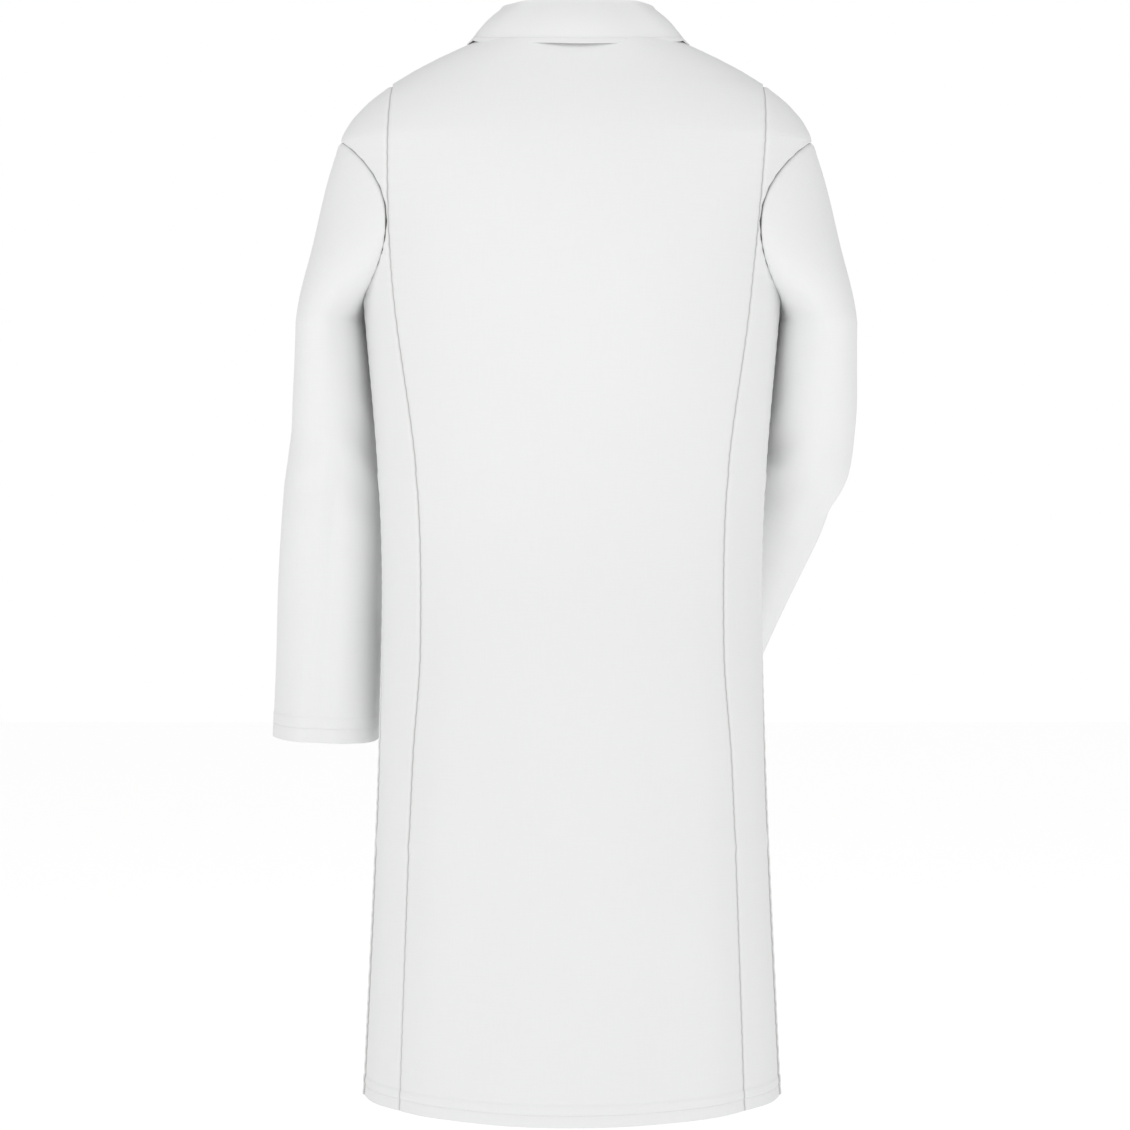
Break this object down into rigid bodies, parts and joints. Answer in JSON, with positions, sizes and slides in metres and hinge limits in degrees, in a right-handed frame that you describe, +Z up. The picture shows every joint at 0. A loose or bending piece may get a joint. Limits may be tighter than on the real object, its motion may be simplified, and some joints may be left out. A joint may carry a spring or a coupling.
{
  "type": "lab coat",
  "caption": "Long white laboratory coat with princess seams, notched lapels, patch pockets, button front, one straight sleeve and one bent sleeve.",
  "frame": {"origin": "centre-back neck seam, where the hanger loop is sewn and the coat hangs from", "axes": "+Z up along the coat's length, the back towards -Y, +X to the wearer's right"},
  "size_m": [0.5577, 0.3171, 1.052],
  "materials": {
    "coat_cloth": "matte",
    "collar_cloth": "matte",
    "pocket_cloth": "matte",
    "facing_cloth": "matte",
    "button": "gloss"
  },
  "bodies": {
    "torso": {"back_panel": "coat_cloth", "side_back_panel_left": "coat_cloth", "side_back_panel_right": "coat_cloth", "side_front_panel_left": "coat_cloth", "side_front_panel_right": "coat_cloth", "chest_front_left": "coat_cloth", "chest_front_right": "coat_cloth", "collar_stand": "collar_cloth", "collar_leaf_left": "collar_cloth", "collar_leaf_right": "collar_cloth", "neck_facing": "facing_cloth", "hanger_loop": "facing_cloth", "hip_pocket_left": "pocket_cloth", "hip_pocket_right": "pocket_cloth", "chest_pocket": "pocket_cloth"},
    "front_right": {"front_right": "coat_cloth", "front_facing_right": "facing_cloth"},
    "front_left": {"front_left": "coat_cloth", "front_facing_left": "facing_cloth"},
    "lapel_right": {"lapel_right": "collar_cloth"},
    "lapel_left": {"lapel_left": "collar_cloth"},
    "collar_fall": {"collar_fall": "collar_cloth"},
    "sleeve_left": {"sleeve_upper_left": "coat_cloth", "sleeve_elbow_left": "coat_cloth"},
    "forearm_left": {"sleeve_fore_left": "coat_cloth"},
    "sleeve_right": {"sleeve_upper_right": "coat_cloth", "sleeve_elbow_right": "coat_cloth"},
    "forearm_right": {"sleeve_fore_right": "coat_cloth"},
    "button_1": {"button_1": "button"},
    "button_2": {"button_2": "button"},
    "button_3": {"button_3": "button"},
    "button_4": {"button_4": "button"}
  },
  "joints": [
    {"name": "shoulder_left", "type": "hinge", "parent": "torso", "child": "sleeve_left", "pos_m": [-0.2225, 0, -0.0885], "axis": [0, 1, 0], "range_deg": [0, 70]},
    {"name": "elbow_left", "type": "hinge", "parent": "sleeve_left", "child": "forearm_left", "pos_m": [-0.2147, 0.094, -0.39], "axis": [0.9611, -0.276, 0], "range_deg": [0, 90], "deforming": ["sleeve_elbow_left"]},
    {"name": "shoulder_right", "type": "hinge", "parent": "torso", "child": "sleeve_right", "pos_m": [0.23, 0, -0.0885], "axis": [0, -1, 0], "range_deg": [0, 70]},
    {"name": "elbow_right", "type": "hinge", "parent": "sleeve_right", "child": "forearm_right", "pos_m": [0.193, 0.094, -0.39], "axis": [0.7493, 0.6623, 0], "range_deg": [-8, 50], "deforming": ["sleeve_elbow_right"]},
    {"name": "front_right_open", "type": "hinge", "parent": "torso", "child": "front_right", "pos_m": [0.0783, 0.11, -0.658], "axis": [0, 0, -1], "range_deg": [0, 50]},
    {"name": "front_left_open", "type": "hinge", "parent": "torso", "child": "front_left", "pos_m": [-0.0783, 0.11, -0.658], "axis": [0, 0, 1], "range_deg": [0, 20]},
    {"name": "lapel_right_lift", "type": "hinge", "parent": "torso", "child": "lapel_right", "pos_m": [0.001, 0.1165, -0.3], "axis": [0.2531, -0.126, 0.9592], "range_deg": [0, 35]},
    {"name": "lapel_left_lift", "type": "hinge", "parent": "torso", "child": "lapel_left", "pos_m": [-0.001, 0.1165, -0.3], "axis": [0.22, 0.13, -0.9668], "range_deg": [0, 35]},
    {"name": "collar_turn_up", "type": "hinge", "parent": "torso", "child": "collar_fall", "pos_m": [0.006, -0.042, 0.037], "axis": [-1, 0, 0], "range_deg": [0, 40]},
    {"name": "button_1_tilt", "type": "hinge", "parent": "front_left", "child": "button_1", "pos_m": [0, 0.108, -0.35], "axis": [1, 0, 0], "range_deg": [-12, 12], "stiffness_Nm_per_rad": 0.01},
    {"name": "button_2_tilt", "type": "hinge", "parent": "front_left", "child": "button_2", "pos_m": [0, 0.101, -0.465], "axis": [1, 0, 0], "range_deg": [-12, 12], "stiffness_Nm_per_rad": 0.01},
    {"name": "button_3_tilt", "type": "hinge", "parent": "front_left", "child": "button_3", "pos_m": [0, 0.106, -0.58], "axis": [1, 0, 0], "range_deg": [-12, 12], "stiffness_Nm_per_rad": 0.01},
    {"name": "button_4_tilt", "type": "hinge", "parent": "front_left", "child": "button_4", "pos_m": [0, 0.1108, -0.695], "axis": [1, 0, 0], "range_deg": [-12, 12], "stiffness_Nm_per_rad": 0.01}
  ],
  "couplings": [
    {"joint": "front_left_open", "follows": "front_right_open", "ratio": 0.4}
  ]
}
